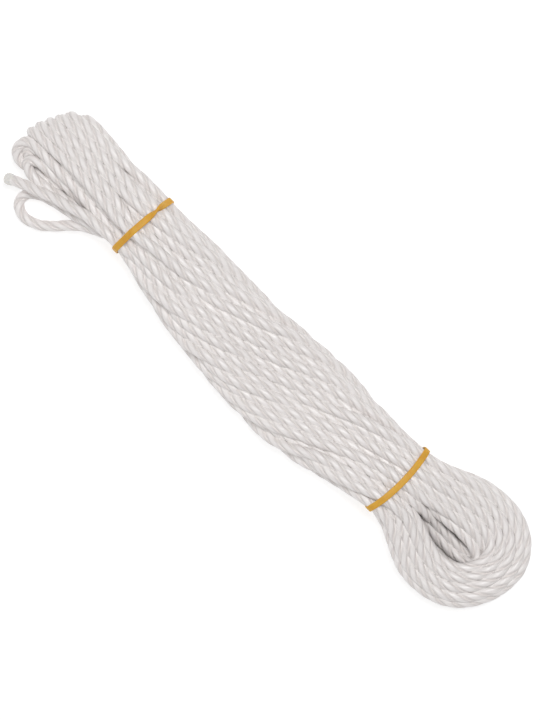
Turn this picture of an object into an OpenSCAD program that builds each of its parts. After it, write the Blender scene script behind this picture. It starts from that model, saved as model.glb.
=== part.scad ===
// Retail hank of white three-strand rope, held by two rubber bands.
// Millimetres. The hank lies on the floor along X: folds fanned out at -X, open eye at +X.
// The rope is wound in two rings of runs round the hank's axis, an outer ring and a core.
// Its runs fold one over the other in the fan and side by side in the eye, because each ring
// turns round the axis on the way. That turn is what makes one rope of all the folds.

/* [Rope] */
// Diameter of the rope
rope_d = 6; // [4:0.5:9]
// Clear space between runs that lie side by side
run_gap = 0.5; // [0.45:0.05:1.5]
// Clear length of the melted, rounded end
melt_l = 3; // [1:0.5:6]

/* [Hank length] */
// Distance between the two rubber bands
band_spacing = 204; // [160:1:260]
// From the fan band to the tip of the longest fold
fan_l = 87; // [70:1:110]
// How much shorter the shortest fold is
fan_stagger = 14; // [6:1:20]
// From the eye band to the centre of the round end
eye_reach = 48; // [38:1:64]

/* [Hank section, in ropes side by side] */
// Width at the fan band
fan_waist_w = 6.6; // [6.2:0.1:8.5]
// Height at the fan band
fan_waist_h = 5.6; // [5:0.1:7]
// Width where the runs turn round the axis
twist_w = 8.2; // [7:0.1:9.5]
// Height where the runs turn round the axis
twist_h = 5.2; // [5:0.1:6.5]
// Width of the belly
belly_w = 9.5; // [8:0.1:11.5]
// Height of the belly
belly_h = 4.4; // [4.1:0.1:5.5]
// Width at the eye band
eye_waist_w = 7.1; // [6.6:0.1:8.6]
// Height at the eye band
eye_waist_h = 4.7; // [4.4:0.1:5.8]
// Width of the eye's two limbs, before they part
eye_limbs_w = 10.2; // [8.5:0.1:12.5]
// Height of the eye
eye_h = 4.1; // [4.1:0.1:5]

/* [Lie] */
// How far the belly is swept towards the free end's side
belly_sweep = 7.7; // [0:0.1:12]
// How far the round end leans to the other side
eye_lean = 3; // [0:0.5:6]

/* [Fan] */
// Spacing of the folds across the fan, in ropes
fold_pitch = 1.16; // [1.1:0.01:1.4]
// Height of the tall folds, in ropes
fold_h = 5.2; // [5:0.1:6]

/* [Rubber bands] */
// Width of the rubber strip
band_w = 4.4; // [3:0.1:6]
// Thickness of the rubber strip
band_t = 0.9; // [0.6:0.1:1.6]
// Clearance between the rubber and the rope
band_gap = 0.3; // [0.2:0.05:0.6]
// Slant of the fan band, from side to side
band_slant = 3; // [0:0.5:6]
// Bow of the eye band towards the eye
band_bow = 2.4; // [0:0.2:5]
// Length over which the fan band turns over
band_turn_l = 16; // [12:1:24]

/* [Hidden] */
pitch = rope_d + run_gap;
// a run that lies on the floor is pressed flat by a tenth of the rope
rest_z = 0.4 * rope_d;
x_fan = -band_spacing / 2;
x_eye = band_spacing / 2;
x_round = x_eye + eye_reach;
// the hank is narrowest after the fan band at the first share of its length, widest at the second
twist_at = 0.26;
belly_at = 0.63;
x_twist = x_fan + twist_at * band_spacing;
x_belly = x_fan + belly_at * band_spacing;

// runs in each ring, and how many places each ring turns on its way to the fan
outer_n = 16;
core_n = 8;
outer_turn = 5;
core_turn = 1;
// the turn ends at this share of the hank's length
turn_ends_at = 0.82;
x_turned = x_fan + turn_ends_at * band_spacing;
// place at the fan band where each ring's first run starts
core_start = 3;
outer_start = 9;

// rings of the tube: along a run, and round each fold
run_stations = [0, 0.04, 0.15, 0.29, 0.43, 0.6, 0.78, 0.96, 1];
fold_angles = [0, 45, 90, 135, 180];
hank_sides = 6;
tail_sides = 12;

// half width and half height of the outer ring's centre line, in pitches
outer_w_table = [[x_fan, (fan_waist_w - 1) / 2], [x_twist, (twist_w - 1) / 2],
    [x_belly, (belly_w - 1) / 2], [x_eye, (eye_waist_w - 1) / 2], [x_round, (eye_limbs_w - 1) / 2]];
outer_h_table = [[x_fan, (fan_waist_h - 1) / 2], [x_twist, (twist_h - 1) / 2],
    [x_belly, (belly_h - 1) / 2], [x_eye, (eye_waist_h - 1) / 2], [x_round, (eye_h - 1) / 2]];
// the core lies inside the outer ring: its half width is a share of the outer one and a rest,
// its half height is a clear pitch less than the outer one, and at most the last value
core_w_share = 0.5;
core_w_rest = 0.3;
core_clear = 1.02;
core_half_h = 0.85;

// the runs part a little under the bands' edges, so the bands stand off by this much more
runs_part = 0.1;
// height of the hank's axis, so that each stretch rests on the floor or on its band
band_seat = rope_d / 2 + band_gap + runs_part + band_t;
// the fan lies down on the floor from this share of its length on
fan_down_at = 0.55;
axis_table = [[x_fan - fan_down_at * fan_l, (fold_h - 1) / 2 * pitch + rest_z],
    [x_fan, (fan_waist_h - 1) / 2 * pitch + band_seat],
    [x_twist, (twist_h - 1) / 2 * pitch + rest_z],
    [x_belly, (belly_h - 1) / 2 * pitch + rest_z],
    [x_eye, (eye_waist_h - 1) / 2 * pitch + band_seat],
    [x_round, (eye_h - 1) / 2 * pitch + rest_z]];

// the eye opens by this share of its width and this many pitches, and reaches out by the last
eye_spread = 0.15;
eye_hollow = 0.4;
eye_depth = 1.05;

// fan: side of the first column, radius of its fold and how much each next column's is larger,
// degrees of the fan's round outline per column, and how the lower half of a fold leans
first_column = 3.3;
first_fold_r = 1.25;
fold_r_step = 0.55;
column_angle = 18;
fold_lean = 0.3;
// the core's columns in the fan, which lie behind this column of the outer ring
core_column = 1.1;
core_column_pitch = 1.08;
core_lean = 0.15;
core_fold_r = 1;
core_setback = 1.9;
core_behind = 5;

// places that aren't coiled, in pitches from the fan band, the axis and the floor
start_route = [[-6, -2, 3.2], [-5, -1.9, 3.3], [-3, -1.8, 3.4]];
link_route = [[-1.4, -1.6, 2.3], [-2.9, -1.7, 2.3], [-4.2, -1.9, 2.2], [-4.9, -2.3, 2],
    [-4.8, -2.7, 1.6], [-3.7, -2.7, 1.5], [-2.3, -2.5, 1.5], [-1.1, -2.4, 1.5]];
slack_route = [[-1.7, -3.4, 2.1], [-3.2, -3.8, 1.4], [-4.8, -4.8, 0.9], [-6, -6, 0.5],
    [-7.1, -6.6, 0.3], [-8.2, -6.6, 0.3], [-9.1, -5.9, 0.3], [-9.2, -4.9, 0.6],
    [-8, -4.2, 1.3], [-6.2, -3.9, 1.9], [-4.2, -3.7, 2.5], [-2, -3.1, 3.4]];
tail_route = [[-1.4, -2.6, 4.4], [-2.9, -3, 4.3], [-4.8, -3.5, 3.9], [-6.6, -4.1, 3.3],
    [-8.5, -4.7, 2.5], [-10, -5.1, 1.8], [-11.2, -5.4, 1.4]];

rope_colour = [0.93, 0.92, 0.9];
rubber_colour = [0.85, 0.63, 0.24];

// ---- smooth steps and tables ----

function clamped(t) = min(1, max(0, t));

function ease(t) = let (c = clamped(t)) c * c * (3 - 2 * c);

function mix(a, b, t) = a + (b - a) * t;

// value at x of a table of [x, value] rows, eased from each row to the next
function table_at(table, x, i = 0) =
    x <= table[0][0] ? table[0][1]
    : i >= len(table) - 1 ? table[i][1]
    : x <= table[i + 1][0]
        ? mix(table[i][1], table[i + 1][1], ease((x - table[i][0]) / (table[i + 1][0] - table[i][0])))
    : table_at(table, x, i + 1);

function axis_z(x) = table_at(axis_table, x);

// the hank's axis bows sideways from one band's inner edge to the other's
function axis_y(x) = -belly_sweep * sin(180 * clamped((x - x_fan - band_w) / (band_spacing - 2 * band_w)));

// ---- the two rings of runs ----

// point [y, z] of a racetrack of half width w and half height r, a distance s round it
function racetrack(w, r, s) =
    let (flat = w - r, quarter = PI * r / 2)
    s < quarter ? let (a = s / r * 180 / PI) [flat + r * cos(a), r * sin(a)]
    : s < quarter + 2 * flat ? [flat - (s - quarter), r]
    : s < 3 * quarter + 2 * flat
        ? let (a = 90 + (s - quarter - 2 * flat) / r * 180 / PI) [r * cos(a) - flat, r * sin(a)]
    : s < 3 * quarter + 4 * flat ? [s - 3 * quarter - 3 * flat, -r]
    : let (a = (s - 3 * quarter - 4 * flat) / r * 180 / PI - 90) [flat + r * cos(a), r * sin(a)];

function racetrack_l(w, r) = 4 * (w - r) + 2 * PI * r;

function wrap(k, n) = k - n * floor(k / n);

function ring_place(w, r, k, n) = racetrack(w, r, wrap(k + 0.5, n) / n * racetrack_l(w, r));

function outer_w(x) = table_at(outer_w_table, x);
function outer_h(x) = table_at(outer_h_table, x);
function core_w(x) = core_w_share * outer_w(x) + core_w_rest;
function core_h(x) = min(core_half_h, outer_h(x) - core_clear);

function runs(outer) = outer ? outer_n : core_n;
function turn(outer) = outer ? outer_turn : core_turn;

// how far the ring has turned at x, from none at the eye to all at the fan
function turned(x) = 1 - ease((x - x_fan) / (x_turned - x_fan));

// place of run k in the section at x, in pitches from the axis
function section(outer, k, x) =
    let (place = k + turn(outer) * turned(x))
    outer ? ring_place(outer_w(x), outer_h(x), place, outer_n)
    : ring_place(core_w(x), core_h(x), place, core_n);

// ---- one rope: runs, eye, fan ----

function run_point(outer, k, x) =
    let (place = section(outer, k, x), open = ease((x - x_eye) / eye_reach))
    [x, axis_y(x) + pitch * (place[0] * (1 + eye_spread * open) + sign(place[0]) * eye_hollow * open),
        axis_z(x) + pitch * place[1]];

// stations x of a run towards the eye; it goes straight on past each band by the band's width
run_x = [for (f = run_stations) mix(x_fan - band_w, x_eye + band_w, f)];

function run_out(outer, k) = [for (x = run_x) run_point(outer, k, x)];

function run_back(outer, k) = [for (i = [len(run_x) - 1:-1:0]) run_point(outer, k, run_x[i])];

// half turn round the eye, from run k to the run on its other side
function eye_fold(outer, k) =
    let (side = run_point(outer, k, x_round),
        reach = pitch * (abs(section(outer, k, x_round)[0]) + eye_depth))
    [for (a = fold_angles) [x_round + reach * sin(a), side[1] * cos(a) + eye_lean * sin(a), side[2]]];

// folds of the fan: half height, place across and centre, by column from the +Y side
function fold_r(outer, column) =
    pitch * (outer ? min((fold_h - 1) / 2, first_fold_r + fold_r_step * column) : core_fold_r);

function fold_y(outer, column) =
    pitch * (outer ? first_column - fold_pitch * column : core_column - core_column_pitch * column);

function fold_x(outer, column) =
    outer ? x_fan - fan_l + fan_stagger * (1 - sin(column_angle * column)) + rope_d / 2 + fold_r(true, column)
    : fold_x(true, core_behind) + core_setback * pitch;

// half turn in the fan, from place v at the fan band to the place above or below it
function fan_fold(outer, v) =
    let (upper = v < runs(outer) / 2,
        column = upper ? v : runs(outer) - 1 - v,
        lean = pitch * (outer ? fold_lean : core_lean),
        r = fold_r(outer, column),
        x = fold_x(outer, column))
    [for (a = fold_angles) let (up = (upper ? 1 : -1) * cos(a))
        [x - r * sin(a), fold_y(outer, column) + lean * up, axis_z(x) + r * up]];

// hand-placed route near the fan band
function placed(route) =
    [for (p = route) [x_fan + pitch * p[0], pitch * p[1], max(rest_z, pitch * p[2])]];

function next_place(outer, v) = wrap(runs(outer) - 1 - v, runs(outer));

function far_side(outer, k) = wrap(runs(outer) / 2 - 1 - k, runs(outer));

// all turns of one ring, from place v at the fan band; the outer ring's first fold is slack
function wind(outer, v, turns) =
    let (k = wrap(v - turn(outer), runs(outer)),
        back = far_side(outer, k),
        arrives = wrap(back + turn(outer), runs(outer)),
        one_turn = concat(run_out(outer, k), eye_fold(outer, k), run_back(outer, back)))
    turns == 1 ? one_turn
    : concat(one_turn,
        outer && turns == outer_n / 2 ? placed(slack_route) : fan_fold(outer, arrives),
        wind(outer, next_place(outer, arrives), turns - 1));

// the core is wound first, and the link leads from it to the outer ring
tail_points = placed(tail_route);
// the hank's tube ends one diameter along the tail, square to it
tail_way = (tail_points[1] - tail_points[0]) / norm(tail_points[1] - tail_points[0]);
tail_joint = tail_points[0] + rope_d * tail_way;
hank_path = concat(placed(start_route), wind(false, core_start, core_n / 2), placed(link_route),
    wind(true, outer_start, outer_n / 2), [tail_points[0], tail_joint]);

// the free tail: a smooth curve through its points, then the melted end
function smooth_point(p, i, t) =
    let (a = p[max(0, i - 1)], b = p[i], c = p[i + 1], d = p[min(len(p) - 1, i + 2)])
    0.5 * (2 * b + t * (c - a) + t * t * (2 * a - 5 * b + 4 * c - d) + t * t * t * (3 * b - a - 3 * c + d));

tail_through = concat([tail_joint], [for (i = [1:len(tail_points) - 1]) tail_points[i]]);
tail_path = concat([tail_joint, tail_joint + 0.5 * rope_d * tail_way],
    [for (i = [1:len(tail_through) - 2]) for (t = [0, 0.5]) smooth_point(tail_through, i, t)],
    [tail_through[len(tail_through) - 1]]);
tail_end = tail_path[len(tail_path) - 1];
tail_end_way = (tail_end - tail_path[len(tail_path) - 2]) / norm(tail_end - tail_path[len(tail_path) - 2]);
melt_angles = [30, 60];
tail_rings = concat(tail_path, [for (a = melt_angles) tail_end + melt_l * sin(a) * tail_end_way]);
tail_scale = concat([for (p = tail_path) 1], [for (a = melt_angles) cos(a)]);

// ---- tubes ----

function unit(v) = v / norm(v);

function way_at(path, i) =
    unit(path[min(len(path) - 1, i + 1)] - path[max(0, i - 1)]);

// sideways direction of a ring: level where the tube runs level, else carried on from the last
level_enough = 0.3;
function side_at(way, last) =
    let (level = cross([0, 0, 1], way),
        carried = last - (last * way) * way)
    norm(level) > level_enough ? unit(level) * (level * last < 0 ? -1 : 1) : unit(carried);

function ring_sides(path) =
    [for (i = 0, side = side_at(way_at(path, 0), [0, 1, 0]);
        i < len(path);
        i = i + 1, side = i < len(path) ? side_at(way_at(path, i), side) : side) side];

function tube_points(path, d, scales, sides_n) =
    let (sides = ring_sides(path))
    [for (i = [0:len(path) - 1]) let (way = way_at(path, i), up = cross(way, sides[i]))
        for (j = [0:sides_n - 1]) let (a = 360 * j / sides_n,
            p = path[i] + d / 2 * scales[i] * (cos(a) * sides[i] + sin(a) * up))
            [p[0], p[1], max(0, p[2])]];

function tube_faces(rings, n) = concat(
    [for (j = [1:n - 2]) [0, j, j + 1]],
    [for (i = [0:rings - 2], j = [0:n - 1]) let (a = i * n + j, b = i * n + (j + 1) % n)
        each [[a, a + n, b], [b, a + n, b + n]]],
    [for (j = [1:n - 2]) [(rings - 1) * n, (rings - 1) * n + j + 1, (rings - 1) * n + j]]);

hank_points = tube_points(hank_path, rope_d, [for (p = hank_path) 1], hank_sides);

// origin: middle of the rope's box, on the floor
rope_x = [for (p = hank_points) p[0]];
rope_y = [for (p = hank_points) p[1]];
middle = [(min(rope_x) + max(rope_x)) / 2, (min(rope_y) + max(rope_y)) / 2, 0];

// ---- least gap between the hank's turns, printed for whoever changes a size ----

function segments_apart(p, p2, q, q2) =
    let (u = p2 - p, v = q2 - q, r = p - q, a = u * u, b = u * v, c = u * r, e = v * v, f = v * r,
        den = a * e - b * b,
        s0 = den > 0.000001 ? clamped((b * f - c * e) / den) : 0,
        t = clamped((b * s0 + f) / e),
        s = clamped((b * t - c) / a))
    norm(r + s * u - t * v);

least_apart = min([for (i = [0:len(hank_path) - 6]) for (j = [i + 4:len(hank_path) - 2])
    segments_apart(hank_path[i], hank_path[i + 1], hank_path[j], hank_path[j + 1])]);
rope_length = [for (i = 0, l = 0; i < len(hank_path); i = i + 1,
    l = i < len(hank_path) ? l + norm(hank_path[i] - hank_path[i - 1]) : l) l][len(hank_path) - 1];
echo(turns = outer_n / 2 + core_n / 2, hank_length = rope_length, least_gap = least_apart - rope_d);

// ---- rubber bands ----

// strip round the outer ring at x: slanted, bowed, and turned over twice where turn_l isn't 0
band_steps = 72;
band_corner = 0.25;
turn_top = 0.16;
turn_under = 0.9;

function band_roll(f, turn_l, around) =
    turn_l == 0 ? 0
    : 180 * (ease((f - turn_top) * around / turn_l + 0.5) - ease((f - turn_under) * around / turn_l + 0.5));

function band_points(x, slant, bow, turn_l) =
    let (w = outer_w(x) * pitch, r = outer_h(x) * pitch, around = racetrack_l(w, r),
        half_w = band_w / 2, half_t = band_t / 2, c = band_corner * band_t,
        outline = [[half_w, half_t - c], [half_w - c, half_t], [c - half_w, half_t], [-half_w, half_t - c],
            [-half_w, c - half_t], [c - half_w, -half_t], [half_w - c, -half_t], [half_w, c - half_t]])
    [for (i = [0:band_steps - 1])
        let (f = i / band_steps,
            on = racetrack(w, r, f * around),
            inner = [max(r - w, min(w - r, on[0])), 0],
            out = unit(on - inner),
            roll = band_roll(f, turn_l, around),
            reach = abs(sin(roll)) * half_w + abs(cos(roll)) * half_t,
            centre = on + (rope_d / 2 + band_gap + runs_part + reach) * out,
            across = centre[0] / (w + rope_d))
        for (p = outline)
            let (u = p[0] * cos(roll) - p[1] * sin(roll), v = p[0] * sin(roll) + p[1] * cos(roll))
            [x + slant * across / 2 + bow * (0.5 - across * across) + u,
                centre[0] + v * out[0], axis_z(x) + centre[1] + v * out[1]]];

function band_faces(n) =
    [for (i = [0:band_steps - 1], j = [0:n - 1])
        let (a = i * n + j, b = i * n + (j + 1) % n,
            c = (i + 1) % band_steps * n + j, d = (i + 1) % band_steps * n + (j + 1) % n)
        each [[a, b, c], [b, d, c]]];

module band(x, slant, bow, turn_l) {
    color(rubber_colour)
        translate(-middle)
            polyhedron(band_points(x, slant, bow, turn_l), band_faces(8), convexity = 10);
}

// ---- sub-parts ----

// twelve turns of rope from its hidden end to the tail
module rope_hank() {
    color(rope_colour)
        translate(-middle)
            polyhedron(hank_points, tube_faces(len(hank_path), hank_sides), convexity = 30);
}

// the rope's visible end, melted round so that its strands stay together
module rope_tail() {
    color(rope_colour)
        translate(-middle)
            polyhedron(tube_points(tail_rings, rope_d, tail_scale, tail_sides),
                tube_faces(len(tail_rings), tail_sides), convexity = 4);
}

// rubber band round the waist at the fan, turned over once on top and once underneath
module band_fan() {
    band(x_fan, band_slant, 0, band_turn_l);
}

// rubber band round the waist at the eye
module band_eye() {
    band(x_eye, 0, band_bow, 0);
}

rope_hank();
rope_tail();
band_fan();
band_eye();
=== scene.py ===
import math

import bpy
import numpy as np
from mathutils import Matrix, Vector
from mathutils.kdtree import KDTree


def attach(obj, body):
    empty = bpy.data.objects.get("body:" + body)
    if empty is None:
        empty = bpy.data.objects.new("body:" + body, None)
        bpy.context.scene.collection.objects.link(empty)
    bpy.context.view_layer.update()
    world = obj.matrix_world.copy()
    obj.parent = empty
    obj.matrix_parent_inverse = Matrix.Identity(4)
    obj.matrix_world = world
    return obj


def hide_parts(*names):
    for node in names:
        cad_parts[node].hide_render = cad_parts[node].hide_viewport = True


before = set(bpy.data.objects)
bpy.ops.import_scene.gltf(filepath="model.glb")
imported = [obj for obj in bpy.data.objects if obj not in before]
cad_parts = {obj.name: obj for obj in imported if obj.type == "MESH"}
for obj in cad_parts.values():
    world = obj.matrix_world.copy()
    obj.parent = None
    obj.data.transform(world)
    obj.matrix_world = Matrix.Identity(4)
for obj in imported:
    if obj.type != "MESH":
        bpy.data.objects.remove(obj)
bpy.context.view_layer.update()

scene = bpy.context.scene
bpy.ops.object.select_all(action="DESELECT")


# ---- Camera ----
# The hank lies on a white table and is seen from straight above, fan of folds at the upper left.
# The lens is long, so the flat lay keeps its proportions.

view_centre = Vector((0.0023, 0.0001, 0.018))
view_height = 0.4075
lens_mm = 110
sensor_mm = 36

bpy.ops.object.camera_add(
    location=view_centre + Vector((0, 0, view_height * lens_mm / sensor_mm)),
    rotation=(0, 0, math.radians(45)),
)
camera = bpy.context.object
camera.name = "camera"
camera.data.lens = lens_mm
camera.data.sensor_width = sensor_mm
camera.data.clip_end = 10
scene.camera = camera


# ---- Rope ----
# One length of white three-strand nylon rope, wound to and fro into a hank and never cut. It was
# wound in two rings of runs, a core of two turns and twelve turns round it, and the outer ring
# turns half way round the hank between the bands. Sizes are in metres unless said otherwise.

rope_d = 0.006
pitch = 0.0065
rest_z = 0.4 * rope_d
hank_y = 0.003467
x_fan = -0.102
x_eye = 0.102
x_round = 0.15
fold_run_in = 0.012
x_twist = x_fan + 0.26 * (x_eye - x_fan)
x_belly = x_fan + 0.63 * (x_eye - x_fan)

# half width and half height of the outer ring, in pitches, and height of the hank's axis
outer_w = [(x_fan, 2.68), (x_twist, 3.66), (x_belly, 4.3), (x_eye, 3), (x_round, 5.15)]
outer_h = [(x_fan, 2.3), (x_twist, 2.1), (x_belly, 1.7), (x_eye, 1.85), (x_round, 1.55)]
axis_z = [(x_fan - 0.04785, 0.01605), (x_fan, 0.0195), (x_twist, 0.01605), (x_belly, 0.01345),
          (x_eye, 0.016575), (x_round, 0.012475)]


class Ring:
    """One ring of runs: how many it holds and how many places it turns between the bands."""

    def __init__(self, runs, places_turned, outer):
        self.runs, self.places_turned, self.outer = runs, places_turned, outer


outer_ring = Ring(24, 13, True)
core_ring = Ring(4, 0, False)

# folds at the fan from its +Y side to its -Y side, in pitches: where the tip lies along the hank and
# across it, half its height, and how far its upper leg leans out; small ones lie inside neighbours
fold_table = [(-10.6, 3.5, 1.2, 0.3), (-11.5, 2.6, 1.65, 0.3), (-9.9, 2.2, 0.8, 0.1),
              (-12, 1.55, 2.1, 0.3), (-12.5, 0.5, 2.1, 0.3), (-11, 0.4, 0.8, 0.1),
              (-12.9, -0.5, 2.1, 0.3), (-13.1, -1.4, 2, 0.3), (-11.6, -1.5, 0.8, 0.2),
              (-12.9, -2.7, 0.6, 1.1)]
core_fold = (-12.4, -2.9, 0.5, 0.6)

# the eye, in pitches across and up from the hank's axis: the core's runs there, and the one run of
# the outer ring that sinks into the eye's hollow
core_at_eye = [(0.3, 0.93), (-1.45, -0.5), (-0.5, -1.5), (0.5, -1.2)]
sunk_run = 6
sunk_at_eye = (-0.46, -0.5)

# stretches that were laid by hand at the fan, in pitches from the fan band, the axis and the table
start_route = [(-6, -2, 3.2), (-5, -1.9, 3.3), (-3, -1.8, 3.4)]
link_route = [(-1.4, -1.6, 2.6), (-3.5, -1.8, 3), (-6, -2, 3.2), (-8.5, -2.3, 3.2), (-10.6, -2.5, 3.1),
              (-11.6, -3.1, 2.8), (-10.8, -3.8, 2.6), (-8, -3.8, 2.4), (-5, -3.2, 2.2), (-2.3, -2.6, 1.8),
              (-1.1, -2.4, 1.5)]
slack_route = [(-1.7, -3.4, 2.1), (-3.2, -3.9, 1.4), (-4.8, -5, 0.9), (-6.1, -6.3, 0.5),
               (-7.3, -7, 0.3), (-8.5, -7.1, 0.3), (-9.6, -6.5, 0.3), (-9.6, -5.4, 0.6),
               (-8.3, -4.6, 1.3), (-6.3, -4.1, 1.9), (-4.2, -3.7, 2.5), (-2, -3.1, 3.4)]
tail_route = [(-1.4, -2.6, 4.5), (-2.9, -2.95, 4.6), (-4.8, -3.35, 4.4), (-6.6, -3.85, 3.9),
              (-8.5, -4.4, 3.1), (-10.1, -5.05, 2.3), (-11.75, -5.72, 1.8)]


def ease(t):
    t = min(1, max(0, t))
    return t * t * (3 - 2 * t)


def table_at(table, x):
    if x <= table[0][0]:
        return table[0][1]
    for (x0, v0), (x1, v1) in zip(table, table[1:]):
        if x <= x1:
            return v0 + (v1 - v0) * ease((x - x0) / (x1 - x0))
    return table[-1][1]


def racetrack(w, h, share):
    """Point across and up on a racetrack of half width w and half height h, at a share of its way round."""
    flat = w - h
    quarter = math.pi * h / 2
    s = share % 1 * (4 * flat + 4 * quarter)
    if s < quarter:
        return flat + h * math.cos(s / h), h * math.sin(s / h)
    if s < quarter + 2 * flat:
        return flat - (s - quarter), h
    if s < 3 * quarter + 2 * flat:
        a = math.pi / 2 + (s - quarter - 2 * flat) / h
        return h * math.cos(a) - flat, h * math.sin(a)
    if s < 3 * quarter + 4 * flat:
        return s - 3 * quarter - 3 * flat, -h
    a = (s - 3 * quarter - 4 * flat) / h - math.pi / 2
    return flat + h * math.cos(a), h * math.sin(a)


def axis_y(x):
    """The hank's axis bows sideways between the bands, towards the free end's side."""
    return -0.0077 * math.sin(math.pi * min(1, max(0, (x - x_fan) / (x_eye - x_fan))))


def run_section(ring, run, x):
    """Place of a run in the hank's section at x, in pitches from the axis."""
    share = min(1, max(0, (x - x_fan) / (x_eye - x_fan)))
    turned = 1 - share + 0.03 * math.sin(2 * math.pi * share)
    w, h = table_at(outer_w, x), table_at(outer_h, x)
    if not ring.outer:
        w, h = 0.5 * w + 0.15, min(0.85, h - 1.02)
    return racetrack(w, h, (run + ring.places_turned * turned + 0.5) / ring.runs)


def run_point(ring, run, x):
    across, up = run_section(ring, run, x)
    # past the eye band the runs part into the eye's two limbs, and those beside the sunk run close
    # up over it before they part
    share = min(1, max(0, (x - x_eye) / (x_round - x_eye)))
    if not ring.outer or run == sunk_run:
        to_across, to_up = sunk_at_eye if ring.outer else core_at_eye[run]
        gone = ease((x - x_eye - 0.01) / 0.034) if ring.outer else ease(2 * share)
        across, up = across + (to_across - across) * gone, up + (to_up - up) * gone
    else:
        across += math.copysign(0.94 - 0.1 * abs(across), across) * ease(share)
        if sunk_run < run < ring.runs / 2:
            across += 0.9 * math.sin(math.pi * share) ** 2 * (1 - abs(across) / 4)
    # between the bands no run lies quite straight
    wander = 0.2 * math.sin(math.pi * min(1, max(0, (x - x_fan) / (x_eye - x_fan))))
    way = 2 * math.pi * x / 0.13 + 2.4 * run
    across += wander * math.sin(way)
    up += wander * math.sin(1.3 * way + 1)
    return (x, axis_y(x) + pitch * across, table_at(axis_z, x) + pitch * up)


def run_line(ring, run, towards_eye):
    xs = np.linspace(x_fan, x_round - fold_run_in, 20)
    return [run_point(ring, run, x) for x in (xs if towards_eye else xs[::-1])]


def eye_fold(ring, out, back):
    """Half turn round the eye, fullest on its +Y side; one with a sunk leg swings wider and falls to it."""
    x0, y0, z0 = run_point(ring, out, x_round)
    x1, y1, z1 = run_point(ring, back, x_round)
    half = (y0 - y1) / 2
    sunk = abs(z0 - z1) > 0.5 * pitch
    reach = 0.83 * abs(half) + (0.9 + (1.6 if ring.outer else 0.8) * sunk) * pitch
    points = []
    for a in np.radians((0, 22.5, 45, 67.5, 90, 112.5, 135, 157.5, 180)):
        x, y = reach * math.sin(a), half * math.cos(a)
        lean = max(0, math.cos(math.atan2(y, x) - math.radians(45))) ** 4
        fuller = 1 + (0.02 + 0.16 * lean) * math.sin(a)
        low, high = min(z0, z1), max(z0, z1)
        fallen = (1 - math.cos(a)) / 2 if z1 < z0 else (1 + math.cos(a)) / 2
        fallen **= 0.5 if ring.outer else 1.2
        points.append((x_round + fuller * x, (y0 + y1) / 2 + fuller * y, high - (high - low) * fallen))
    return points


def fan_fold(ring, place):
    """Fold at the fan, from a run on the upper side to the one below it or back."""
    upper = place < ring.runs / 2
    column = place if upper else ring.runs - 1 - place
    tip, y, radius, lean = fold_table[column] if ring.outer else core_fold
    x = x_fan + pitch * (tip + radius)
    points = []
    for a in np.radians((0, 30, 60, 90, 120, 150, 180)):
        up = math.cos(a) if upper else -math.cos(a)
        points.append((x - pitch * radius * math.sin(a), pitch * (y + lean * up),
                       table_at(axis_z, x) + pitch * radius * up))
    return points


def laid(route):
    return [(x_fan + pitch * x, pitch * y, max(rest_z, pitch * z)) for x, y, z in route]


def wind(ring, place):
    """All turns of one ring from a place at the fan band; one fold of the outer ring hangs slack."""
    points = []
    for turn in range(ring.runs // 2):
        if turn:
            points += laid(slack_route) if ring.outer and place == ring.runs // 2 else fan_fold(ring, place)
            place = (ring.runs - 1 - place) % ring.runs
        out = (place - ring.places_turned) % ring.runs
        back = (ring.runs // 2 - 1 - out) % ring.runs
        points += run_line(ring, out, True) + eye_fold(ring, out, back) + run_line(ring, back, False)
        place = (back + ring.places_turned) % ring.runs
    return points


def spread_evenly(line, step):
    way = np.concatenate([[0], np.cumsum(np.linalg.norm(np.diff(line, axis=0), axis=1))])
    at = np.linspace(0, way[-1], int(way[-1] / step) + 1)
    return np.column_stack([np.interp(at, way, line[:, i]) for i in range(3)])


def curve_through(points, step):
    """Catmull-Rom curve through the points, with its knots set by their distances."""
    p = np.array(points)
    p = p[np.concatenate([[True], np.linalg.norm(np.diff(p, axis=0), axis=1) > 1e-5])]
    p = np.vstack([2 * p[0] - p[1], p, 2 * p[-1] - p[-2]])
    gap = np.sqrt(np.linalg.norm(np.diff(p, axis=0), axis=1))
    out = []
    for i in range(1, len(p) - 2):
        a, b, c = gap[i - 1], gap[i], gap[i + 1]
        t = np.linspace(0, 1, 12, endpoint=False)[:, None]
        m0 = b * ((p[i] - p[i - 1]) / a - (p[i + 1] - p[i - 1]) / (a + b) + (p[i + 1] - p[i]) / b)
        m1 = b * ((p[i + 1] - p[i]) / b - (p[i + 2] - p[i]) / (b + c) + (p[i + 2] - p[i + 1]) / c)
        out.append((2 * t**3 - 3 * t**2 + 1) * p[i] + (t**3 - 2 * t**2 + t) * m0
                   + (3 * t**2 - 2 * t**3) * p[i + 1] + (t**3 - t**2) * m1)
    return spread_evenly(np.vstack(out + [p[-2:-1]]), step)


def soften(line, reach):
    """Rope is stiff: the line is averaged along its length over a few points each way."""
    weights = np.exp(-0.5 * (np.arange(-3 * reach, 3 * reach + 1) / reach) ** 2)
    weights /= weights.sum()
    padded = np.vstack([np.repeat(line[:1], 3 * reach, 0), line, np.repeat(line[-1:], 3 * reach, 0)])
    return np.column_stack([np.convolve(padded[:, i], weights, mode="valid") for i in range(3)])


route = laid(start_route) + wind(core_ring, 1) + laid(link_route) + wind(outer_ring, 13)
route += laid(tail_route)
laid_line = soften(curve_through(route, 0.001), 3)

# the turns settle: stretches that overlap push each other away, those that nearly touch close up,
# the hank sinks together and the bands keep its width, until the rope lies on itself everywhere
settle_step = 0.003
settle_rounds = 120
unsmoothed_rounds = 15
close_d = 0.0057
loose_d = 0.0078
seek_d = 0.009
draw = 0.06
sink = 0.00004
sink_over = 0.004
move_share = 0.45
most_shift = 0.009
side_play = 0.0004
bands_hold = 0.012
lowest_z = 0.0028


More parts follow.
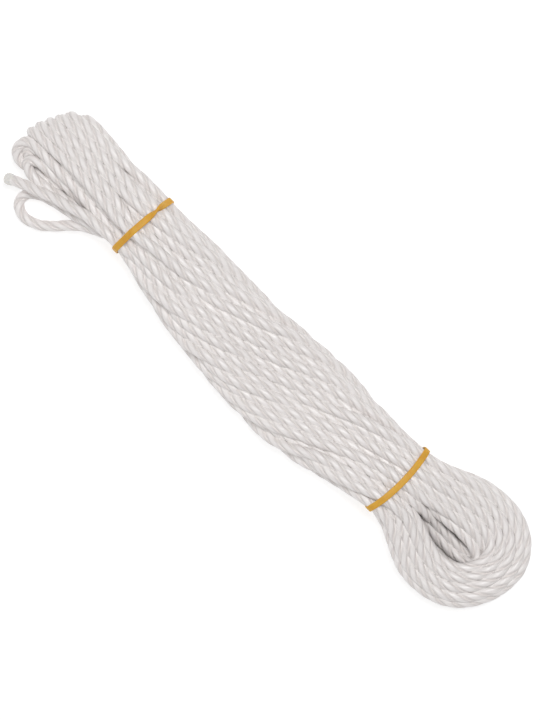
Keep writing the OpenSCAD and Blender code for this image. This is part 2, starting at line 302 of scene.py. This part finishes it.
def tree_of(points):
    tree = KDTree(len(points))
    for i, point in enumerate(points):
        tree.insert(point, i)
    tree.balance()
    return tree


def settled(line):
    rest = spread_evenly(line, settle_step)
    middle = np.array([table_at(axis_z, x) for x in rest[:, 0]])
    width = np.array([pitch * table_at(outer_w, x) + side_play for x in rest[:, 0]])
    centre = np.array([axis_y(x) for x in rest[:, 0]])
    bound = np.abs(rest[:, 0]) < x_eye + bands_hold
    weights = np.exp(-0.5 * (np.arange(-4, 5) / 1.2) ** 2)
    weights /= weights.sum()
    shift = np.zeros_like(rest)
    for turn in range(settle_rounds):
        now = rest + shift
        if turn % 5 == 0:
            tree = tree_of(now)
            near = np.array([(i, j) for i, point in enumerate(now)
                             for _, j, _ in tree.find_range(point, seek_d) if j > i + 4])
            first, second = near[:, 0], near[:, 1]
        apart = now[first] - now[second]
        far = np.linalg.norm(apart, axis=1)
        touch = far < close_d
        push = apart[touch] * ((close_d - far[touch]) / 2 / np.maximum(far[touch], 1e-6))[:, None]
        moved = np.column_stack([
            np.bincount(first[touch], push[:, c], len(now)) - np.bincount(second[touch], push[:, c], len(now))
            for c in range(3)])
        moved[:, 2] -= sink * np.tanh((now[:, 2] - middle) / sink_over)
        gap = ~touch & (far < loose_d)
        pull = apart[gap] * (-draw * (far[gap] - close_d) / far[gap])[:, None]
        moved += np.column_stack([
            np.bincount(first[gap], pull[:, c], len(now)) - np.bincount(second[gap], pull[:, c], len(now))
            for c in range(3)])
        shift += move_share * moved
        if turn < settle_rounds - unsmoothed_rounds:
            padded = np.vstack([np.repeat(shift[:1], 4, 0), shift, np.repeat(shift[-1:], 4, 0)])
            shift = np.column_stack([np.convolve(padded[:, c], weights, "valid") for c in range(3)])
        y = np.clip(rest[:, 1] + shift[:, 1], centre - width, centre + width)
        shift[bound, 1] = (y - rest[:, 1])[bound]
        shift[:, 2] = np.maximum(rest[:, 2] + shift[:, 2], lowest_z) - rest[:, 2]
        size = np.linalg.norm(shift, axis=1)
        shift *= np.minimum(1, most_shift / np.maximum(size, 1e-9))[:, None]
    return rest + shift


rope_line = settled(laid_line)
for _ in range(2):
    rope_line = soften(rope_line, 1)
ring_step = 0.0013
rope_line = curve_through(rope_line, ring_step) + (0, hank_y, 0)

# three strands lie round the rope's line, right-hand laid, each an oval that is wider than deep
lay_length = 0.0295
strand_out = 0.00165
strand_half = (0.00155, 0.0022)
strand_sides = 12
off_table = 0.00002


def frames_along(line):
    """Direction of the line at each point and two directions square to it that don't spin about it."""
    ways = np.gradient(line, axis=0)
    ways /= np.linalg.norm(ways, axis=1)[:, None]
    side = np.cross(ways[0], (0, 0, 1.0))
    sides = []
    for way in ways:
        side = side - way * (side @ way)
        side = side / math.sqrt(side @ side)
        sides.append(side)
    sides = np.array(sides)
    return ways, sides, np.cross(ways, sides)


def tube_faces(rings, sides):
    ring, side = np.meshgrid(np.arange(rings - 1), np.arange(sides), indexing="ij")
    a = ring * sides + side
    b = ring * sides + (side + 1) % sides
    quads = np.stack([a, b, b + sides, a + sides], -1).reshape(-1, 4)
    return quads.tolist() + [list(range(sides))[::-1], list(range((rings - 1) * sides, rings * sides))]


ways, sides, ups = frames_along(rope_line)
along = np.arange(len(rope_line)) * ring_step

# pairs of rings whose stretches of rope touch or nearly touch; a surface begins to be pressed at
# press_from from the other stretch's centre line, and is pressed fully when press_over nearer
# the pressing sets where the rope's colour is painted paler, painted light over the shade of the contact
# lines
touch_d = 0.0077
press_from = 0.0047
press_over = 0.0015

tree = tree_of(rope_line)
touching = np.array([(i, j) for i, point in enumerate(rope_line)
                     for _, j, _ in tree.find_range(point, touch_d) if abs(j - i) > 12])


def pressed_at(points):
    """How closely each point lies to another stretch of rope, from 0 to 1 where they press together."""
    far = np.full(points.shape[:2], touch_d)
    for start in range(0, len(touching), 20000):
        i, j = touching[start:start + 20000].T
        np.minimum.at(far, i, np.linalg.norm(points[i] - rope_line[j][:, None], axis=2))
    return np.clip((press_from - far) / press_over, 0, 1)


def add_strand(name, number):
    turn = 2 * math.pi * (along / lay_length + number / 3)
    out = np.cos(turn)[:, None] * sides + np.sin(turn)[:, None] * ups
    round_way = np.cross(ways, out)
    a = 2 * math.pi * np.arange(strand_sides) / strand_sides + math.pi
    radial = strand_out + strand_half[0] * np.cos(a)
    tangential = strand_half[1] * np.sin(a)
    points = (rope_line[:, None] + radial[None, :, None] * out[:, None]
              + tangential[None, :, None] * round_way[:, None])
    points[:, :, 2] = np.maximum(points[:, :, 2], off_table)
    mesh = bpy.data.meshes.new(name)
    mesh.from_pydata(points.reshape(-1, 3).tolist(), [], tube_faces(len(rope_line), strand_sides))
    uv = mesh.uv_layers.new(name="lay")
    corners = np.array([loop.vertex_index for loop in mesh.loops])
    ring, side = corners // strand_sides, corners % strand_sides
    # the last side of each ring runs on to the first, so its coordinate goes on to 1
    wraps = np.zeros(len(corners), bool)
    quad_corners = (len(rope_line) - 1) * strand_sides * 4
    quad_side = (np.arange(quad_corners) // 4) % strand_sides
    wraps[:quad_corners] = (quad_side == strand_sides - 1) & (side[:quad_corners] == 0)
    around = np.where(wraps, 1.0, side / strand_sides)
    uv.data.foreach_set("uv", np.column_stack([along[ring], around]).ravel())
    # pressed is the mask for painted light over the shade between touching ropes
    pressed = mesh.attributes.new("pressed", "FLOAT", "POINT")
    pressed.data.foreach_set("value", pressed_at(points).ravel())
    strand = bpy.data.objects.new(name, mesh)
    scene.collection.objects.link(strand)
    mesh.shade_smooth()
    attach(strand, "root")
    return strand


strands = [add_strand(f"strand_{n + 1}", n) for n in range(3)]


def node(tree, kind, **values):
    made = tree.nodes.new(kind)
    for name, value in values.items():
        setattr(made, name, value)
    return made


def link(tree, out, into):
    tree.links.new(out, into)


# filaments: they lie along the rope, so they slant back across each strand
filaments = bpy.data.node_groups.new("filaments", "ShaderNodeTree")
filaments.interface.new_socket("Turns per metre", in_out="INPUT", socket_type="NodeSocketFloat")
filaments.interface.new_socket("Height", in_out="OUTPUT", socket_type="NodeSocketFloat")
filaments.interface.new_socket("Streak", in_out="OUTPUT", socket_type="NodeSocketFloat")
group_in = node(filaments, "NodeGroupInput")
group_out = node(filaments, "NodeGroupOutput")
uv_map = node(filaments, "ShaderNodeUVMap", uv_map="lay")
parts = node(filaments, "ShaderNodeSeparateXYZ")
link(filaments, uv_map.outputs["UV"], parts.inputs[0])
slant = node(filaments, "ShaderNodeMath", operation="MULTIPLY_ADD")
link(filaments, parts.outputs["X"], slant.inputs[0])
link(filaments, group_in.outputs["Turns per metre"], slant.inputs[1])
link(filaments, parts.outputs["Y"], slant.inputs[2])
angle = node(filaments, "ShaderNodeMath", operation="MULTIPLY")
link(filaments, slant.outputs[0], angle.inputs[0])
angle.inputs[1].default_value = 2 * math.pi
round_place = []
for wave in ("COSINE", "SINE"):
    made = node(filaments, "ShaderNodeMath", operation=wave)
    link(filaments, angle.outputs[0], made.inputs[0])
    round_place.append(made)
place = node(filaments, "ShaderNodeCombineXYZ")
link(filaments, round_place[0].outputs[0], place.inputs["X"])
link(filaments, round_place[1].outputs[0], place.inputs["Y"])
length_way = node(filaments, "ShaderNodeMath", operation="MULTIPLY")
link(filaments, parts.outputs["X"], length_way.inputs[0])
length_way.inputs[1].default_value = 90
link(filaments, length_way.outputs[0], place.inputs["Z"])
fine = node(filaments, "ShaderNodeTexNoise")
fine.inputs["Scale"].default_value = 9
fine.inputs["Detail"].default_value = 4
fine.inputs["Roughness"].default_value = 0.7
link(filaments, place.outputs[0], fine.inputs["Vector"])
broad = node(filaments, "ShaderNodeTexNoise")
broad.inputs["Scale"].default_value = 2.2
broad.inputs["Detail"].default_value = 3
link(filaments, place.outputs[0], broad.inputs["Vector"])
link(filaments, fine.outputs["Fac"], group_out.inputs["Height"])
link(filaments, broad.outputs["Fac"], group_out.inputs["Streak"])

rope_white = bpy.data.materials.new("rope_white")
rope_white.use_nodes = True
tree = rope_white.node_tree
surface = tree.nodes["Principled BSDF"]
lie = node(tree, "ShaderNodeGroup", node_tree=filaments)
lie.inputs["Turns per metre"].default_value = 41
tone = node(tree, "ShaderNodeValToRGB")
tone.color_ramp.elements[0].position = 0.3
tone.color_ramp.elements[0].color = (0.866, 0.823, 0.808, 1)
tone.color_ramp.elements[1].position = 0.7
tone.color_ramp.elements[1].color = (0.926, 0.888, 0.874, 1)
link(tree, lie.outputs["Streak"], tone.inputs["Fac"])
# painted highlight and painted light: each strand's colour is made palest on its crest and greyer beside it,
# a painted highlight, and pale again in the grooves between strands, painted light for the light that has
# entered the filaments and comes out again there
sides_of = node(tree, "ShaderNodeUVMap", uv_map="lay")
round_way = node(tree, "ShaderNodeSeparateXYZ")
link(tree, sides_of.outputs["UV"], round_way.inputs[0])
off_crest = node(tree, "ShaderNodeMath", operation="SUBTRACT")
link(tree, round_way.outputs["Y"], off_crest.inputs[0])
off_crest.inputs[1].default_value = 0.5
off_crest_size = node(tree, "ShaderNodeMath", operation="ABSOLUTE")
link(tree, off_crest.outputs[0], off_crest_size.inputs[0])
painted_crest_and_groove_light = node(tree, "ShaderNodeValToRGB")
painted_crest_and_groove_light.color_ramp.interpolation = "EASE"
painted_crest_and_groove_light.color_ramp.elements[0].position = 0.065
painted_crest_and_groove_light.color_ramp.elements[0].color = (1, 1, 1, 1)
painted_crest_and_groove_light.color_ramp.elements[1].position = 0.165
painted_crest_and_groove_light.color_ramp.elements[1].color = (0.83, 0.818, 0.812, 1)
painted_groove_light = painted_crest_and_groove_light.color_ramp.elements.new(0.28)
painted_groove_light.color = (0.98, 0.97, 0.96, 1)
link(tree, off_crest_size.outputs[0], painted_crest_and_groove_light.inputs["Fac"])
streak_tone_with_painted_light = node(tree, "ShaderNodeMix", data_type="RGBA", blend_type="MULTIPLY")
streak_tone_with_painted_light.inputs["Factor"].default_value = 1
link(tree, tone.outputs["Color"], streak_tone_with_painted_light.inputs["A"])
link(tree, painted_crest_and_groove_light.outputs["Color"], streak_tone_with_painted_light.inputs["B"])
# painted light: the colour is also made paler where ropes press together, lifting the shade of their contact
# lines
pressed_place = node(tree, "ShaderNodeAttribute", attribute_name="pressed")
painted_contact_light_share = node(tree, "ShaderNodeMapRange", interpolation_type="SMOOTHSTEP")
painted_contact_light_share.inputs["To Max"].default_value = 0.85
link(tree, pressed_place.outputs["Fac"], painted_contact_light_share.inputs["Value"])
painted_contact_light = node(tree, "ShaderNodeMix", data_type="RGBA")
painted_contact_light.inputs["B"].default_value = (0.95, 0.92, 0.905, 1)
link(tree, painted_contact_light_share.outputs["Result"], painted_contact_light.inputs["Factor"])
link(tree, streak_tone_with_painted_light.outputs["Result"], painted_contact_light.inputs["A"])
link(tree, painted_contact_light.outputs["Result"], surface.inputs["Base Color"])
gloss = node(tree, "ShaderNodeMapRange")
gloss.inputs["To Min"].default_value = 0.22
gloss.inputs["To Max"].default_value = 0.36
link(tree, lie.outputs["Height"], gloss.inputs["Value"])
link(tree, gloss.outputs["Result"], surface.inputs["Roughness"])
bump = node(tree, "ShaderNodeBump")
bump.inputs["Strength"].default_value = 0.35
bump.inputs["Distance"].default_value = 0.00025
link(tree, lie.outputs["Height"], bump.inputs["Height"])
link(tree, bump.outputs["Normal"], surface.inputs["Normal"])
surface.inputs["Specular IOR Level"].default_value = 0.7
surface.inputs["Sheen Weight"].default_value = 0.15
surface.inputs["Sheen Roughness"].default_value = 0.5
for strand in strands:
    strand.data.materials.append(rope_white)

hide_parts("rope_hank", "rope_tail")


# ---- Melted ends ----
# Both ends of the rope are cut and melted, so that the three strands run together in a blunt bead.

bead_r = 0.0034
bead_half = 0.0048
bead_flat = 0.0018

melted = bpy.data.materials.new("melted_rope")
melted.use_nodes = True
tree = melted.node_tree
surface = tree.nodes["Principled BSDF"]
place = node(tree, "ShaderNodeTexCoord")
mottle = node(tree, "ShaderNodeTexNoise")
mottle.inputs["Scale"].default_value = 700
mottle.inputs["Detail"].default_value = 3
link(tree, place.outputs["Object"], mottle.inputs["Vector"])
tone = node(tree, "ShaderNodeValToRGB")
tone.color_ramp.elements[0].position = 0.35
tone.color_ramp.elements[0].color = (0.74, 0.72, 0.69, 1)
tone.color_ramp.elements[1].position = 0.65
tone.color_ramp.elements[1].color = (0.84, 0.82, 0.79, 1)
link(tree, mottle.outputs["Fac"], tone.inputs["Fac"])
link(tree, tone.outputs["Color"], surface.inputs["Base Color"])
bump = node(tree, "ShaderNodeBump")
bump.inputs["Strength"].default_value = 0.3
bump.inputs["Distance"].default_value = 0.0002
link(tree, mottle.outputs["Fac"], bump.inputs["Height"])
link(tree, bump.outputs["Normal"], surface.inputs["Normal"])
surface.inputs["Roughness"].default_value = 0.25
surface.inputs["Subsurface Weight"].default_value = 0.3
surface.inputs["Subsurface Radius"].default_value = (0.002, 0.0018, 0.0015)
surface.inputs["Subsurface Scale"].default_value = 1.0


def melt_end(name, end, outwards):
    bpy.ops.mesh.primitive_uv_sphere_add(segments=40, ring_count=24, radius=bead_r)
    bead = bpy.context.object
    bead.name = name
    for vertex in bead.data.vertices:
        x, y, z = vertex.co
        z *= bead_half / bead_r
        if z > bead_flat:
            z = bead_flat + 0.55 * (z - bead_flat)
        lobes = 1 + 0.03 * math.cos(3 * math.atan2(y, x)) + 0.02 * math.sin(2 * math.atan2(y, x) + 1)
        vertex.co = (x * lobes, y * lobes, z)
    bead.rotation_euler = Vector(outwards).to_track_quat("Z", "Y").to_euler()
    bead.location = Vector(end) - 0.0008 * Vector(outwards).normalized()
    bpy.ops.object.transform_apply(location=True, rotation=True, scale=True)
    bpy.ops.object.shade_smooth()
    bead.data.materials.append(melted)
    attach(bead, "root")


melt_end("hidden_end", rope_line[0], rope_line[0] - rope_line[3])
melt_end("free_end", rope_line[-1], rope_line[-1] - rope_line[-4])


# ---- Rubber bands ----
# Two flat rings of amber natural rubber hold the hank at its waists. They are stretched over the
# rope, so they run straight from one run to the next, and the fan's band turned over as it was put on.

band_t = 0.0008
band_turn_l = 0.016
passing_reach = 0.004
band_steps = 200
band_sides = 12


def convex_round(points):
    """The points' convex outline, anticlockwise."""
    ordered = sorted(map(tuple, points))
    halves = []
    for way in (ordered, ordered[::-1]):
        half = []
        for p in way:
            while len(half) > 1 and ((half[-1][0] - half[-2][0]) * (p[1] - half[-2][1])
                                     <= (half[-1][1] - half[-2][1]) * (p[0] - half[-2][0])):
                half.pop()
            half.append(p)
        halves += half[:-1]
    return np.array(halves)


def add_band(name, node_name, x, band_w, slant, bow, turn_y):
    """Rubber band stretched round the rope at x, turned over across from turn_y if it has one."""
    passing = rope_line[np.abs(rope_line[:, 0] - x) < passing_reach] - (0, hank_y, 0)
    angles = np.linspace(0, 2 * math.pi, 24, endpoint=False)
    rims = passing[:, None, 1:] + rope_d / 2 * np.column_stack([np.cos(angles), np.sin(angles)])[None]
    hull = convex_round(rims.reshape(-1, 2))
    hull = np.vstack([hull, hull[:1]])
    line = spread_evenly(np.column_stack([np.zeros(len(hull)), hull]), 0.0001)[:-1, 1:]
    start = int(np.argmax(line[:, 0]))
    line = np.roll(line, -start, 0)
    line = line[np.linspace(0, len(line), band_steps, endpoint=False).astype(int)]
    smooth = line.copy()
    for _ in range(6):
        smooth = (np.roll(smooth, 1, 0) + 2 * smooth + np.roll(smooth, -1, 0)) / 4
    way = np.roll(smooth, -1, 0) - np.roll(smooth, 1, 0)
    way /= np.linalg.norm(way, axis=1)[:, None]
    outwards = np.column_stack([way[:, 1], -way[:, 0]])
    roll = np.zeros(band_steps)
    if turn_y is not None:
        roll = math.pi * np.array([ease((y - turn_y) / band_turn_l + 0.5) for y in smooth[:, 0]])
    reach = np.abs(np.sin(roll)) * band_w / 2 + np.abs(np.cos(roll)) * band_t / 2
    middle = smooth + reach[:, None] * outwards
    half_width = np.abs(middle[:, 0]).max()
    across = middle[:, 0] / half_width
    a = 2 * math.pi * np.arange(band_sides) / band_sides
    # a strip with rounded edges, thicker where it stands on edge
    round_u = np.sign(np.cos(a)) * np.abs(np.cos(a)) ** 0.35 * band_w / 2
    round_v = np.sign(np.sin(a)) * np.abs(np.sin(a)) ** 0.6 * band_t / 2
    c, s = np.cos(roll)[:, None], np.sin(roll)[:, None]
    round_v = round_v * (1 + s**2)
    u = round_u * c - round_v * s
    v = round_u * s + round_v * c
    points = np.stack([
        x + (slant * across / 2 + bow * (0.5 - across**2))[:, None] + u,
        middle[:, :1] + hank_y + v * outwards[:, :1],
        middle[:, 1:] + v * outwards[:, 1:],
    ], -1)
    points[:, :, 2] = np.maximum(points[:, :, 2], off_table)
    mesh = bpy.data.meshes.new(name)
    faces = []
    for i in range(band_steps):
        for j in range(band_sides):
            k, l = (i + 1) % band_steps, (j + 1) % band_sides
            faces.append((i * band_sides + l, k * band_sides + l, k * band_sides + j, i * band_sides + j))
    mesh.from_pydata(points.reshape(-1, 3).tolist(), [], faces)
    band = bpy.data.objects.new(name, mesh)
    scene.collection.objects.link(band)
    mesh.shade_smooth()
    band.data.materials.append(rubber)
    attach(band, "root")
    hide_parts(node_name)


rubber = bpy.data.materials.new("amber_rubber")
rubber.use_nodes = True
tree = rubber.node_tree
surface = tree.nodes["Principled BSDF"]
place = node(tree, "ShaderNodeTexCoord")
cloud = node(tree, "ShaderNodeTexNoise")
cloud.inputs["Scale"].default_value = 160
cloud.inputs["Detail"].default_value = 4
link(tree, place.outputs["Object"], cloud.inputs["Vector"])
tone = node(tree, "ShaderNodeValToRGB")
tone.color_ramp.elements[0].position = 0.3
tone.color_ramp.elements[0].color = (0.68, 0.35, 0.04, 1)
tone.color_ramp.elements[1].position = 0.7
tone.color_ramp.elements[1].color = (0.76, 0.43, 0.055, 1)
link(tree, cloud.outputs["Fac"], tone.inputs["Fac"])
link(tree, tone.outputs["Color"], surface.inputs["Base Color"])
grain = node(tree, "ShaderNodeTexNoise")
grain.inputs["Scale"].default_value = 1500
grain.inputs["Detail"].default_value = 3
link(tree, place.outputs["Object"], grain.inputs["Vector"])
bump = node(tree, "ShaderNodeBump")
bump.inputs["Strength"].default_value = 0.25
bump.inputs["Distance"].default_value = 0.0001
link(tree, grain.outputs["Fac"], bump.inputs["Height"])
link(tree, bump.outputs["Normal"], surface.inputs["Normal"])
surface.inputs["Roughness"].default_value = 0.5
surface.inputs["Specular IOR Level"].default_value = 0.3
surface.inputs["Subsurface Weight"].default_value = 0.25
surface.inputs["Subsurface Radius"].default_value = (0.0015, 0.0008, 0.0003)
surface.inputs["Subsurface Scale"].default_value = 1.0

add_band("fan_band", "band_fan", x_fan, 0.0038, 0.003, 0, 0.0105)
add_band("eye_band", "band_eye", x_eye, 0.0037, 0, 0.0024, None)


# ---- Table and light ----
# A plain white light table, one soft light above the far side of the hank and a wider, weaker one
# above the near side.

bpy.ops.mesh.primitive_plane_add(size=20, location=(0, 0, 0))
table_top = bpy.context.object
table_top.name = "table_top"
white = bpy.data.materials.new("table_white")
white.use_nodes = True
white.node_tree.nodes["Principled BSDF"].inputs["Base Color"].default_value = (0.55, 0.55, 0.55, 1)
white.node_tree.nodes["Principled BSDF"].inputs["Roughness"].default_value = 0.9
white.node_tree.nodes["Principled BSDF"].inputs["Emission Color"].default_value = (1, 1, 1, 1)
white.node_tree.nodes["Principled BSDF"].inputs["Emission Strength"].default_value = 0.6
table_top.data.materials.append(white)


def soft_light(name, place, size, power):
    bpy.ops.object.light_add(type="AREA", location=place)
    light = bpy.context.object
    light.name = name
    light.data.size = size
    light.data.energy = power
    light.rotation_euler = (Vector((0, 0, 0)) - Vector(place)).to_track_quat("-Z", "Y").to_euler()


soft_light("window_light", (-0.1, 0.42, 1.8), 0.5, 13.5)
soft_light("fill_light", (-0.5, -0.9, 1.5), 1.4, 5)
scene.world = bpy.data.worlds.new("soft_room")
scene.world.use_nodes = True
scene.world.node_tree.nodes["Background"].inputs["Color"].default_value = (1, 1, 1, 1)
scene.world.node_tree.nodes["Background"].inputs["Strength"].default_value = 0.415
scene.view_settings.view_transform = "Standard"
